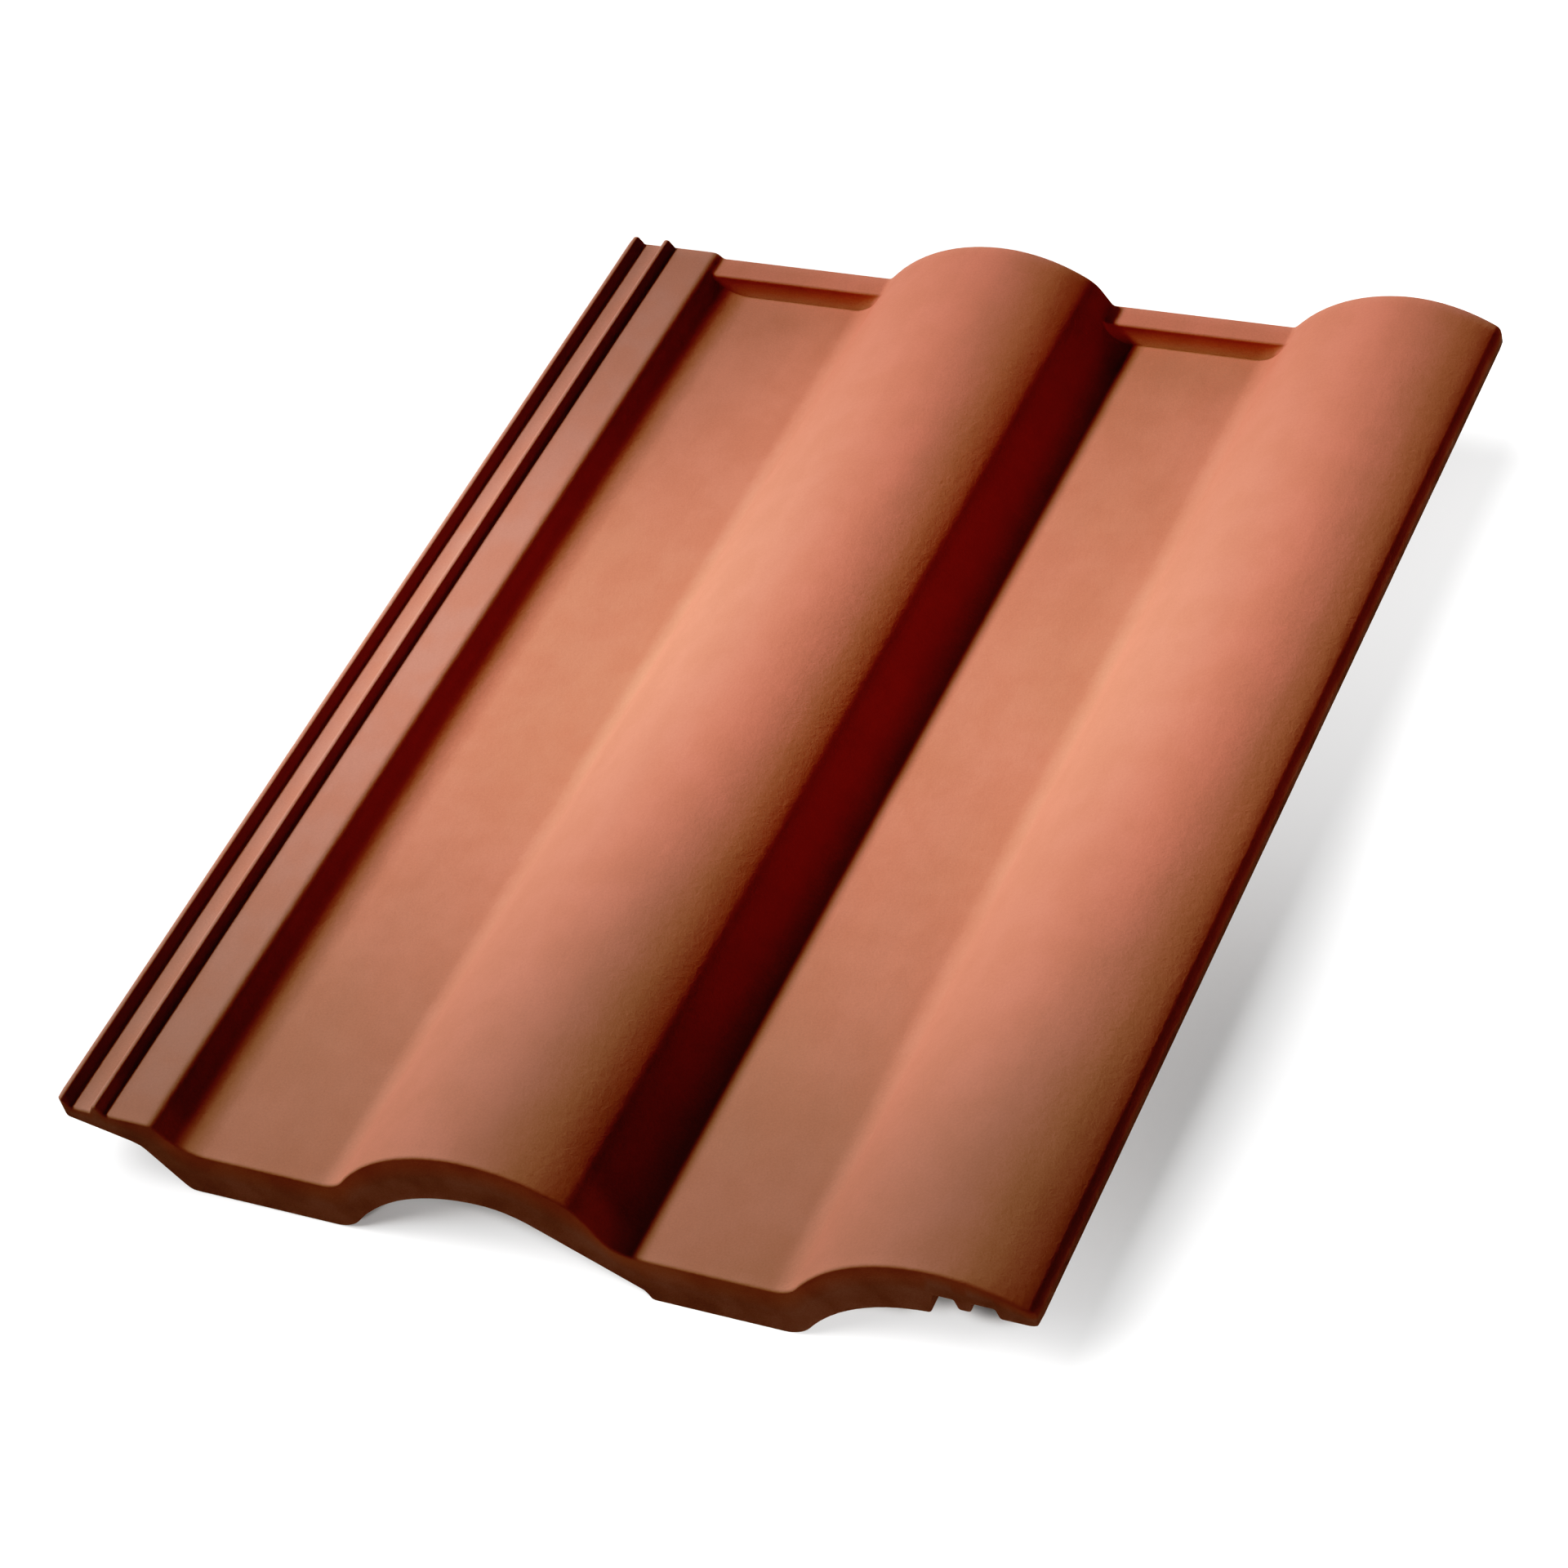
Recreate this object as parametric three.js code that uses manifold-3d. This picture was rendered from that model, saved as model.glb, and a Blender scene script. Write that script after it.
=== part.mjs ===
// Double-roll interlocking clay roof tile, one moulded and fired piece.
//
// Frame: millimetres, +Z up. +X runs across the tile, from the underlock (the low ribbed edge that
// the next tile covers) to the overlock (the edge that covers the next tile). +Y runs up the roof,
// from the tail to the head. The tile is drawn level first, with x = 0 at the underlock's edge,
// y = 0 at the tail's face and z = 0 on the flat of the pans. It is then set down as it rests on a
// level floor, on its tail and its two nibs, with the origin under the middle of its bounding box.

import * as THREE from 'three';
import { LoftGeometry } from 'three/addons/geometries/LoftGeometry.js';
import { mergeVertices } from 'three/addons/utils/BufferGeometryUtils.js';
import Module from 'manifold-3d';

// ---- Driving dimensions -------------------------------------------------------------------------

const LENGTH = 420;
const WIDTH = 330;
const COVER_WIDTH = 300; // one tile to the next on the roof
const BODY = 12; // thickness of the moulded body at its pans and crests
const FLANK_INSET = 8; // of which this much is square to the rolls, so their flanks are thinner

// Rolls: two to a tile, the second one slighter and cut short by the overlock's edge. Each has its
// height above the pans, and its reach from the crest back to where its rising arc starts.
const ROLL_PITCH = COVER_WIDTH / 2;
const FIRST_ROLL = { crest: 150, height: 28, reach: 52.5 };
const SECOND_ROLL = { crest: FIRST_ROLL.crest + ROLL_PITCH, height: 27.3, reach: 50 };
const CREASE_RADIUS = 12; // of the hollow between a pan and the rising side
const CROWN_RADIUS = 55; // of the falling side, past the crest
const CROWN_ANGLE = THREE.MathUtils.degToRad(34); // slope where the crown turns into the shoulder
const SHOULDER_RADIUS = 14;
const FLANK_ANGLE = THREE.MathUtils.degToRad(62); // slope of the straight flank below the shoulder
const HOLLOW_RADIUS = 10; // between the flank and the next pan

// Underlock: a raised plate with two ribs, and a slope down to the first pan.
const PLATE_TOP = 10;
const PLATE_END = 34; // where the slope starts
const SLOPE_FOOT = 41;
const RIB_TOP = 13.2;
const RIB_DRAFT = 1; // on each side of a rib
const OUTER_RIB_WIDTH = 3.4; // at its foot
const INNER_RIB = 11.8; // left foot of the second rib
const INNER_RIB_WIDTH = 4.2; // at its feet
const PLATE_EDGE_UNDERSIDE = 5;
const PLATE_ROOT = 26; // where the plate's underside turns down beside the slope
const PLATE_ROOT_UNDERSIDE = -2;

// Overlock: its underside reaches down between the ribs of the next tile's underlock.
const LOCK_GAP = 1.8; // room left on every side of a rib
const RECESS_HEADROOM = 1; // and this much more over its top
const TOOTH_DRAFT = 0.5;
const OVERLOCK_ROOT = 3.6; // from the second crest back to where the roll's own underside ends

// Tail: the front edge is turned down to sit on the tile of the course below, and a low rib crosses
// the underside behind it.
const APRON_DROP = 20; // the tail's face, from its upper to its lower edge
const APRON_LENGTH = 14;
const APRON_CROWN_RADIUS = 32; // of its lower edge under the first roll, past the crest
const APRON_SLOPE = THREE.MathUtils.degToRad(31); // of that edge from the crown to the wall
const APRON_WALL = 199.5; // where a low wall ends the slope, beside the second pan
const APRON_WALL_RUN = 1.5;
const WEATHER_RIB_DEPTH = 3.5; // below the body
const WEATHER_RIB_START = 40;
const WEATHER_RIB_LENGTH = 8;
const CROSS_DRAFT = 1; // run of the faces that end the apron and the weather rib

// Head: a low bar across each pan stops driven rain, and a nib under each pan hooks on the batten.
const BAR_HEIGHT = 7.5;
const BAR_DEPTH = 10;
const BAR_DRAFT = 1;
const BAR_SETBACK = 0.8; // from the head's face
const BAR_END_BEFORE_CREST = 43; // inside the wall of the roll that it runs into
const BAR_START_PAST_CREST = 37;
const NIB_WIDTH = 26;
const NIB_BEARING = 392; // the face that hangs on the batten
const NIB_BACK = 412;
const NIB_PROJECTION = 17; // below the body
const NIB_FACE_DRAFT = 0.5;
const NIB_BACK_DRAFT = 5;
const ROOT_DEPTH = BODY / 2; // how far bars and nibs are sunk into the body

// Edges as the mould leaves them.
const END_ROUND = 0.5;
const RIB_EASE = 1;
const NIB_EASE = 1.5;
const EDGE_EASE = 2.4;
const SLOPE_FOOT_EASE = 9.5;
const EASE_STEP = 1.6; // the longest stretch along an eased corner's sides for one facet

const TERRACOTTA = 0xc97a58;

// ---- Derived sizes ------------------------------------------------------------------------------

const overlockReach = WIDTH - SECOND_ROLL.crest;
const innerRibEnd = INNER_RIB + INNER_RIB_WIDTH;

// Lower surfaces. On the rolls each is inset square to the top and then dropped straight down, and
// on the pans it is lower by both together. The first roll's falling side has its own rule.
const bodyDrop = BODY - FLANK_INSET;
const underside = { inset: FLANK_INSET, drop: bodyDrop, fall: rollFall };
const weatherRib = { inset: FLANK_INSET + WEATHER_RIB_DEPTH, drop: bodyDrop, fall: rollFall };
const apron = { inset: 0, drop: APRON_DROP, fall: apronFall };

// ---- Outline helpers: every outline is a list of corners, clockwise seen from the tail ----------

// A corner, eased by cutting back the given distance along both of its sides.
function corner(across, height, ease = 0) {
  return { at: new THREE.Vector2(across, height), ease };
}

// Corners along an arc, by its centre, radius and the angles of its ends (anticlockwise from +X).
function arc(centreX, centreZ, radius, from, to, segments) {
  const curve = new THREE.EllipseCurve(centreX, centreZ, radius, radius, from, to, to < from);
  return curve.getPoints(segments).map((point) => corner(point.x, point.y));
}

// The rising side of a roll: a hollow out of the pan, and then an arc up to the crest or a little
// short of it.
function rollRise(roll, { inset = 0, drop = 0 } = {}, stopShort = 0) {
  const radius = (roll.reach ** 2 + roll.height ** 2) / (2 * roll.height);
  const centreZ = roll.height - radius - drop;
  const hollowZ = CREASE_RADIUS - drop;
  const across = Math.sqrt((radius + CREASE_RADIUS) ** 2 - (hollowZ - centreZ) ** 2);
  const touching = Math.atan2(hollowZ - centreZ, -across);
  const top = Math.PI / 2 + Math.asin(stopShort / (radius - inset));
  const hollowX = roll.crest - across;
  const hollow = arc(hollowX, hollowZ, CREASE_RADIUS + inset, -Math.PI / 2, touching - Math.PI, 5);
  const rise = arc(roll.crest, centreZ, radius - inset, touching, top, 11);
  return [...hollow, ...rise.slice(1)];
}

// The falling side of a roll, from just past its crest: crown, shoulder, straight flank and hollow.
function rollFall(roll, { inset = 0, drop = 0 } = {}) {
  const crownEnd = Math.PI / 2 - CROWN_ANGLE;
  const flank = Math.PI / 2 - FLANK_ANGLE;
  const crownZ = roll.height - CROWN_RADIUS - drop;
  const shoulderX = roll.crest + (CROWN_RADIUS - SHOULDER_RADIUS) * Math.sin(CROWN_ANGLE);
  const shoulderZ = crownZ + (CROWN_RADIUS - SHOULDER_RADIUS) * Math.cos(CROWN_ANGLE);
  const hollowZ = HOLLOW_RADIUS - drop;
  const apart = SHOULDER_RADIUS + HOLLOW_RADIUS - (hollowZ - shoulderZ) * Math.cos(FLANK_ANGLE);
  const hollowX = shoulderX + apart / Math.sin(FLANK_ANGLE);
  const crown = arc(roll.crest, crownZ, CROWN_RADIUS - inset, Math.PI / 2, crownEnd, 9);
  const shoulder = arc(shoulderX, shoulderZ, SHOULDER_RADIUS - inset, crownEnd, flank, 4);
  const hollow = arc(hollowX, hollowZ, HOLLOW_RADIUS + inset, flank - Math.PI, -Math.PI / 2, 5);
  return [...crown.slice(1), ...shoulder.slice(1), ...hollow];
}

// The falling side at the apron's lower edge: a tighter crown and one long slope, which ends in a
// low wall beside the next pan. It has as many corners as the falling side above.
function apronFall(roll, { drop }) {
  const centreZ = roll.height - APRON_CROWN_RADIUS - drop;
  const crownEnd = Math.PI / 2 - APRON_SLOPE;
  const crown = arc(roll.crest, centreZ, APRON_CROWN_RADIUS, Math.PI / 2, crownEnd, 9);
  const slopeStart = crown.at(-1).at;
  const fallen = (APRON_WALL - slopeStart.x) * Math.tan(APRON_SLOPE);
  const slope = new THREE.LineCurve(
    slopeStart,
    new THREE.Vector2(APRON_WALL, slopeStart.y - fallen),
  ).getPoints(9).map((point) => corner(point.x, point.y));
  return [...crown.slice(1), ...slope.slice(1), corner(APRON_WALL + APRON_WALL_RUN, -drop)];
}

// The crown of the second roll, cut short at the overlock's edge.
function overlockCrown() {
  const edgeAngle = Math.PI / 2 - Math.asin(overlockReach / CROWN_RADIUS);
  const centreZ = SECOND_ROLL.height - CROWN_RADIUS;
  const crown = arc(SECOND_ROLL.crest, centreZ, CROWN_RADIUS, Math.PI / 2, edgeAngle, 8);
  crown.at(-1).ease = EDGE_EASE;
  return crown.slice(1);
}

// The points of a closed outline, with each eased corner turned into a short curve.
function outline(corners) {
  return corners.flatMap(({ at, ease }, index) => {
    if (ease === 0) return [at];
    const before = corners.at(index - 1).at;
    const after = corners[(index + 1) % corners.length].at;
    const start = at.clone().add(before.clone().sub(at).setLength(ease));
    const end = at.clone().add(after.clone().sub(at).setLength(ease));
    const facets = Math.max(3, Math.ceil(ease / EASE_STEP));
    return new THREE.QuadraticBezierCurve(start, at, end).getPoints(facets);
  });
}

// An outline drawn in square to its sides.
function drawnIn(points, distance) {
  const inwards = (from, to) => new THREE.Vector2(to.y - from.y, from.x - to.x).normalize();
  return points.map((point, index) => {
    const oneSide = inwards(points.at(index - 1), point);
    const otherSide = inwards(point, points[(index + 1) % points.length]);
    const between = oneSide.clone().add(otherSide).normalize();
    return point.clone().addScaledVector(between, distance / between.dot(oneSide));
  });
}

// ---- The body: one section, lofted from the tail to the head ------------------------------------

// The top: underlock, pan, roll, pan and overlock, from left to right.
function topCorners() {
  return [
    corner(0, RIB_TOP, RIB_EASE),
    corner(OUTER_RIB_WIDTH - RIB_DRAFT, RIB_TOP, RIB_EASE),
    corner(OUTER_RIB_WIDTH, PLATE_TOP, RIB_EASE),
    corner(INNER_RIB, PLATE_TOP, RIB_EASE),
    corner(INNER_RIB + RIB_DRAFT, RIB_TOP, RIB_EASE),
    corner(innerRibEnd - RIB_DRAFT, RIB_TOP, RIB_EASE),
    corner(innerRibEnd, PLATE_TOP, RIB_EASE),
    corner(PLATE_END, PLATE_TOP, EDGE_EASE),
    corner(SLOPE_FOOT, 0, SLOPE_FOOT_EASE),
    ...rollRise(FIRST_ROLL),
    ...rollFall(FIRST_ROLL),
    ...rollRise(SECOND_ROLL),
    ...overlockCrown(),
  ];
}

// The underside of the overlock, from its edge back to the second roll: a lip, a recess for each
// rib of the next tile's underlock, and a tooth between them.
function lockCorners() {
  const toothBottom = PLATE_TOP + LOCK_GAP;
  const recessTop = RIB_TOP + LOCK_GAP + RECESS_HEADROOM;
  const lipStart = COVER_WIDTH + innerRibEnd + LOCK_GAP;
  const toothEnd = COVER_WIDTH + INNER_RIB - LOCK_GAP;
  const toothStart = COVER_WIDTH + OUTER_RIB_WIDTH + LOCK_GAP;
  return [
    corner(WIDTH, toothBottom, RIB_EASE),
    corner(lipStart + TOOTH_DRAFT, toothBottom, RIB_EASE),
    corner(lipStart, recessTop, RIB_EASE),
    corner(toothEnd, recessTop, RIB_EASE),
    corner(toothEnd - TOOTH_DRAFT, toothBottom, RIB_EASE),
    corner(toothStart + TOOTH_DRAFT, toothBottom, RIB_EASE),
    corner(toothStart, recessTop, RIB_EASE),
    corner(COVER_WIDTH - LOCK_GAP, recessTop),
  ];
}

// The underside of the rolls, pans and plate, from right to left.
function bottomCorners(surface) {
  const depth = surface.inset + surface.drop;
  const slopeRun = (SLOPE_FOOT - PLATE_END) / PLATE_TOP;
  const slopeFoot = PLATE_ROOT + (depth + PLATE_ROOT_UNDERSIDE) * slopeRun;
  return [
    ...rollRise(SECOND_ROLL, surface, OVERLOCK_ROOT).reverse(),
    ...surface.fall(FIRST_ROLL, surface).reverse(),
    ...rollRise(FIRST_ROLL, surface).reverse(),
    corner(slopeFoot, -depth, EDGE_EASE),
    corner(PLATE_ROOT, PLATE_ROOT_UNDERSIDE, EDGE_EASE),
    corner(0, PLATE_EDGE_UNDERSIDE, RIB_EASE),
  ];
}

// The whole section, placed y up the tile. Every section has the same corners, so any two loft.
function section(y, surface, inwards = 0) {
  const points = outline([...topCorners(), ...lockCorners(), ...bottomCorners(surface)]);
  return drawnIn(points, inwards).map((point) => new THREE.Vector3(point.x, y, point.y));
}

// The sections of an end's rounded arris, from its face inwards.
function roundedEnd(faceY, towards, surface) {
  return [0, Math.PI / 4, Math.PI / 2].map((angle) => {
    const back = END_ROUND * (1 - Math.cos(angle));
    const inwards = END_ROUND * (1 - Math.sin(angle));
    return section(faceY + towards * back, surface, inwards);
  });
}

function body() {
  const weatherRibEnd = WEATHER_RIB_START + WEATHER_RIB_LENGTH;
  const sections = [
    ...roundedEnd(0, 1, apron),
    section(APRON_LENGTH - CROSS_DRAFT, apron),
    section(APRON_LENGTH, underside),
    section(WEATHER_RIB_START, underside),
    section(WEATHER_RIB_START + CROSS_DRAFT, weatherRib),
    section(weatherRibEnd - CROSS_DRAFT, weatherRib),
    section(weatherRibEnd, underside),
    ...roundedEnd(LENGTH, -1, underside).reverse(),
  ];
  return new LoftGeometry(sections, { capStart: true, capEnd: true });
}

// ---- Head bars and nibs: outlines in (y, z), carried across the tile ----------------------------

function acrossWidth(corners, fromX, toX) {
  const geometry = new THREE.ExtrudeGeometry(new THREE.Shape(outline(corners)), {
    depth: toX - fromX - 2 * END_ROUND,
    bevelThickness: END_ROUND,
    bevelSize: END_ROUND,
    bevelOffset: -END_ROUND,
    bevelSegments: 2,
  });
  geometry.rotateX(Math.PI / 2);
  geometry.rotateZ(Math.PI / 2);
  geometry.translate(fromX + END_ROUND, 0, 0);
  return geometry;
}

function headBar(fromX, toX) {
  const back = LENGTH - BAR_SETBACK;
  const front = LENGTH - BAR_DEPTH;
  const corners = [
    corner(front - BAR_DRAFT, -ROOT_DEPTH / 2),
    corner(front, BAR_HEIGHT, RIB_EASE),
    corner(back, BAR_HEIGHT, RIB_EASE),
    corner(back, -ROOT_DEPTH / 2),
  ];
  return acrossWidth(corners, fromX, toX);
}

function nib(centreX) {
  const tip = -BODY - NIB_PROJECTION;
  const corners = [
    corner(NIB_BEARING, -ROOT_DEPTH),
    corner(NIB_BEARING + NIB_FACE_DRAFT, tip, NIB_EASE),
    corner(NIB_BACK - NIB_BACK_DRAFT, tip, NIB_EASE),
    corner(NIB_BACK, -ROOT_DEPTH),
  ];
  return acrossWidth(corners, centreX - NIB_WIDTH / 2, centreX + NIB_WIDTH / 2);
}

// ---- Joining ------------------------------------------------------------------------------------

const wasm = await Module();
wasm.setup();

function toManifold(geometry) {
  const positionsOnly = new THREE.BufferGeometry();
  positionsOnly.setAttribute('position', geometry.getAttribute('position'));
  positionsOnly.setIndex(geometry.getIndex());
  const merged = mergeVertices(positionsOnly, 1e-4);
  return new wasm.Manifold(new wasm.Mesh({
    numProp: 3,
    vertProperties: new Float32Array(merged.attributes.position.array),
    triVerts: new Uint32Array(merged.index.array),
  }));
}

function toGeometry(manifold) {
  const mesh = manifold.getMesh();
  const geometry = new THREE.BufferGeometry();
  geometry.setAttribute('position', new THREE.BufferAttribute(mesh.vertProperties, 3));
  geometry.setIndex(new THREE.BufferAttribute(mesh.triVerts, 1));
  geometry.computeVertexNormals();
  return geometry;
}

// ---- The tile -----------------------------------------------------------------------------------

const hollowEnd = rollFall(FIRST_ROLL).at(-1).at.x;
const pans = [
  { left: SLOPE_FOOT, right: FIRST_ROLL.crest - FIRST_ROLL.reach },
  { left: hollowEnd, right: SECOND_ROLL.crest - SECOND_ROLL.reach },
];
const pieces = [
  body(),
  headBar(PLATE_END + BAR_DRAFT, FIRST_ROLL.crest - BAR_END_BEFORE_CREST),
  headBar(FIRST_ROLL.crest + BAR_START_PAST_CREST, SECOND_ROLL.crest - BAR_END_BEFORE_CREST),
  ...pans.map((pan) => nib((pan.left + pan.right) / 2)),
];
const solid = pieces.map(toManifold).reduce((whole, piece) => whole.add(piece));

const roofTile = new THREE.Mesh(
  toGeometry(solid),
  new THREE.MeshStandardMaterial({ color: TERRACOTTA, roughness: 0.85, metalness: 0 }),
);
roofTile.name = 'roof_tile';

// At rest the tail's lower arris and the nibs' bearing-side edges touch the floor.
const restPitch = Math.atan2(BODY + NIB_PROJECTION - APRON_DROP, NIB_BEARING);
roofTile.rotation.x = restPitch;
roofTile.updateMatrixWorld(true);
const settled = new THREE.Box3().setFromObject(roofTile, true);
const middle = settled.getCenter(new THREE.Vector3());
roofTile.position.set(-middle.x, -middle.y, -settled.min.z);

const tile = new THREE.Group();
tile.add(roofTile);

export default tile;
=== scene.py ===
# %% [markdown]
# # A double-roll roof tile of fired clay
#
# The real tile is one piece of clay, pressed between an upper and a lower die, coated on its
# weather side with a thin coloured slip and fired. This lesson presses it again in Blender: a flat
# blank gets its two faces from two rules, one for each die, and a procedural material gives it the
# fired colour, the grain and the paler underside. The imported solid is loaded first, because the
# finished tile has to sit exactly where that solid sits.

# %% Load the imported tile
import math

import bpy
import numpy as np
from mathutils import Matrix, Quaternion, Vector


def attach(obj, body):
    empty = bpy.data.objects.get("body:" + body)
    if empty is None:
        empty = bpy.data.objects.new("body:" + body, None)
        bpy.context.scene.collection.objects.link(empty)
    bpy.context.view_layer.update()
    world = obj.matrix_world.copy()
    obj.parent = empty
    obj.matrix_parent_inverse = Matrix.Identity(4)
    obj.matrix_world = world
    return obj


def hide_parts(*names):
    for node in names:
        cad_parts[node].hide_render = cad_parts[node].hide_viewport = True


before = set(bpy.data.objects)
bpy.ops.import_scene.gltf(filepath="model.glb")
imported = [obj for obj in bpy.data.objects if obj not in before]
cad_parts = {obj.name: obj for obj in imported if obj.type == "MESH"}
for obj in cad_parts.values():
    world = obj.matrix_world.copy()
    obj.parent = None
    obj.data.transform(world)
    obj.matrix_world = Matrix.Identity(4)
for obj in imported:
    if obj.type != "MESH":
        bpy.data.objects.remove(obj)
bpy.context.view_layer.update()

MM = 0.001

# %% [markdown]
# ## Camera
#
# The tile is seen from above its tail, a little to the right, through a long lens that is turned a
# few degrees about its own axis. A camera could be aimed by a constraint, but a fixed place, a
# point to look at and a roll angle are easier to read, and they stay the same in every run.

# %% Place the camera
CAMERA_PLACE = Vector((0.57784, -0.83563, 0.95027))
LOOK_AT = Vector((-0.01595, -0.00207, 0.0))
CAMERA_ROLL = math.radians(-15.753)
LENS_MM = 98.05
SENSOR_MM = 36.0

camera = bpy.data.objects.new("camera", bpy.data.cameras.new("camera"))
bpy.context.scene.collection.objects.link(camera)
camera.data.lens = LENS_MM
camera.data.sensor_width = SENSOR_MM
camera.data.sensor_fit = "HORIZONTAL"
aim = (LOOK_AT - CAMERA_PLACE).to_track_quat("-Z", "Y").to_matrix().to_4x4()
camera.matrix_world = (
    Matrix.Translation(CAMERA_PLACE) @ aim @ Matrix.Rotation(CAMERA_ROLL, 4, "Z")
)
bpy.context.scene.camera = camera
print("camera distance, in metres:", round((LOOK_AT - CAMERA_PLACE).length, 3))

# %% [markdown]
# ## Sums on sockets
#
# Both the shape and the colour below are sums on numbers that change from place to place. Wiring
# each Math node by hand hides the sum, so one small class wraps a socket and turns +, -, * and /
# into Math nodes. Every other node comes from one method, which makes its settings first and fills
# its sockets afterwards. Numbers that don't change from place to place stay plain Python.

# %% Wrap a socket, so that sums on it add Math nodes
class Reading:
    """A value that changes over the clay, carried by one output socket."""

    def __init__(self, bench, socket):
        self.bench = bench
        self.socket = socket

    def __add__(self, other):
        return self.bench.math("ADD", self, other)

    def __radd__(self, other):
        return self.bench.math("ADD", other, self)

    def __sub__(self, other):
        return self.bench.math("SUBTRACT", self, other)

    def __rsub__(self, other):
        return self.bench.math("SUBTRACT", other, self)

    def __mul__(self, other):
        return self.bench.math("MULTIPLY", self, other)

    def __rmul__(self, other):
        return self.bench.math("MULTIPLY", other, self)

    def __truediv__(self, other):
        return self.bench.math("DIVIDE", self, other)

    def __rtruediv__(self, other):
        return self.bench.math("DIVIDE", other, self)

    def __neg__(self):
        return self.bench.math("SUBTRACT", 0.0, self)


print("a reading takes + - * and / from either side")

# %% One method for every node
class Bench:
    """A node tree under construction."""

    def __init__(self, tree):
        self.tree = tree

    def node(self, kind, settings=None, sockets=None, output=0):
        """A node of a kind: its settings are made first, then its sockets are set or linked."""
        made = self.tree.nodes.new(kind)
        for name, value in (settings or {}).items():
            setattr(made, name, value)
        for key, value in (sockets or {}).items():
            if isinstance(value, Reading):
                self.tree.links.new(value.socket, made.inputs[key])
            else:
                made.inputs[key].default_value = value
        return Reading(self, made.outputs[output]) if made.outputs else made

    def math(self, operation, *values, clamp=False):
        settings = {"operation": operation, "use_clamp": clamp}
        return self.node("ShaderNodeMath", settings, dict(enumerate(values)))

    def lowest(self, *values):
        found = values[0]
        for value in values[1:]:
            found = self.math("MINIMUM", found, value)
        return found

    def highest(self, *values):
        found = values[0]
        for value in values[1:]:
            found = self.math("MAXIMUM", found, value)
        return found

    def between(self, low, value, high):
        return self.lowest(self.highest(value, low), high)

    def clamped(self, value):
        return self.math("ADD", value, 0.0, clamp=True)

    def part(self, place, axis):
        """One coordinate of a place: X, Y or Z."""
        return self.node("ShaderNodeSeparateXYZ", None, {0: place}, output=axis)


print("a bench makes nodes, sums, limits and the parts of a place")

# %% [markdown]
# ## The sizes of the tile
#
# A presser's drawing gives every height and place once. The same list feeds the tree's named
# inputs, so a modifier can press another tile from them, and the Python side, which decides where
# the blank needs its lines. Heights are above the flat of the pans, places across the tile are
# from the left edge, and places up the tile are from the tail.

# %% List the sizes, in millimetres
COVER_WIDTH = 300
PLATE_TOP = 10
PLATE_END = 34
SLOPE_FOOT = 41
OUTER_RIB_WIDTH = 3.4
INNER_RIB = 11.8
INNER_RIB_WIDTH = 4.2
LOCK_GAP = 1.8
APRON_DROP = 20
NIB_TIP = 29
NIB_BEARING = 392

SIZES = {
    "Width": 330,
    "Length": 420,
    "First crest": 150,
    "First height": 28,
    "First reach": 52.5,
    "Second crest": 300,
    "Second height": 27.3,
    "Second reach": 50,
    "Crease radius": 12,
    "Crown radius": 55,
    "Shoulder radius": 14,
    "Hollow radius": 10,
    "Plate top": PLATE_TOP,
    "Slope foot": SLOPE_FOOT,
    "Slope hollow radius": 18.25,
    "Rib top": 13.2,
    "Outer rib width": OUTER_RIB_WIDTH,
    "Inner rib": INNER_RIB,
    "Inner rib end": INNER_RIB + INNER_RIB_WIDTH,
    "Rib draft": 1,
    "Body thickness": 12,
    "Flank inset": 8,
    "Plate edge underside": 5,
    "Plate root": 26,
    "Plate root underside": -2,
    "Lock start": COVER_WIDTH - LOCK_GAP,
    "Lock wall run": 1.8,
    "Lock recess": 16,
    "Tooth bottom": PLATE_TOP + LOCK_GAP,
    "Tooth start": COVER_WIDTH + OUTER_RIB_WIDTH + LOCK_GAP,
    "Tooth end": COVER_WIDTH + INNER_RIB - LOCK_GAP,
    "Lip start": COVER_WIDTH + INNER_RIB + INNER_RIB_WIDTH + LOCK_GAP,
    "Tooth draft": 0.5,
    "Apron drop": APRON_DROP,
    "Apron length": 14,
    "Apron crown radius": 32,
    "Apron wall": 199.5,
    "Apron wall run": 1.5,
    "Cross draft": 1,
    "Weather rib start": 40,
    "Weather rib end": 48,
    "Weather rib depth": 3.5,
    "Head bar front": 408.34,
    "Head bar draft": 1.66,
    "Head bar height": 7.5,
    "Left nib": 69.25,
    "Right nib": 224.25,
    "Nib width": 26,
    "Nib bearing": NIB_BEARING + 0.13,
    "Nib back": 410.7,
    "Nib tip": -NIB_TIP,
    "Nib bearing draft": 0.37,
    "Nib back draft": 3.7,
    "Nib side draft": 0.3,
    "Wall round": 0.9,
    "Crease round": 1.6,
    "Edge round": 3.4,
    "Rim round": 1.0,
    "Overlock rim round": 2.2,
    "Thin slip width": 3,
    "Unevenness": 0.16,
}
CROWN_ANGLE = math.radians(34)
FLANK_ANGLE = math.radians(62)
APRON_SLOPE = math.radians(31)
SLOPE_ANGLE = math.atan2(PLATE_TOP, SLOPE_FOOT - PLATE_END)
PITCH = math.atan2(NIB_TIP - APRON_DROP, NIB_BEARING)
print("sizes on the drawing:", len(SIZES))
print("pitch of the tile at rest, in degrees:", round(math.degrees(PITCH), 3))

# %% [markdown]
# ## The clay blank
#
# A press starts from a flat batt of clay. The blank here has the tile's outline, a top and a
# bottom skin, and a rim of a few rows that closes it. A grid of even squares fine enough for a
# half-millimetre wall would need millions of faces, so the lines are drawn close together only
# where a wall, a rib or a rounded edge comes, and a few millimetres apart on the plain clay.

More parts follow.
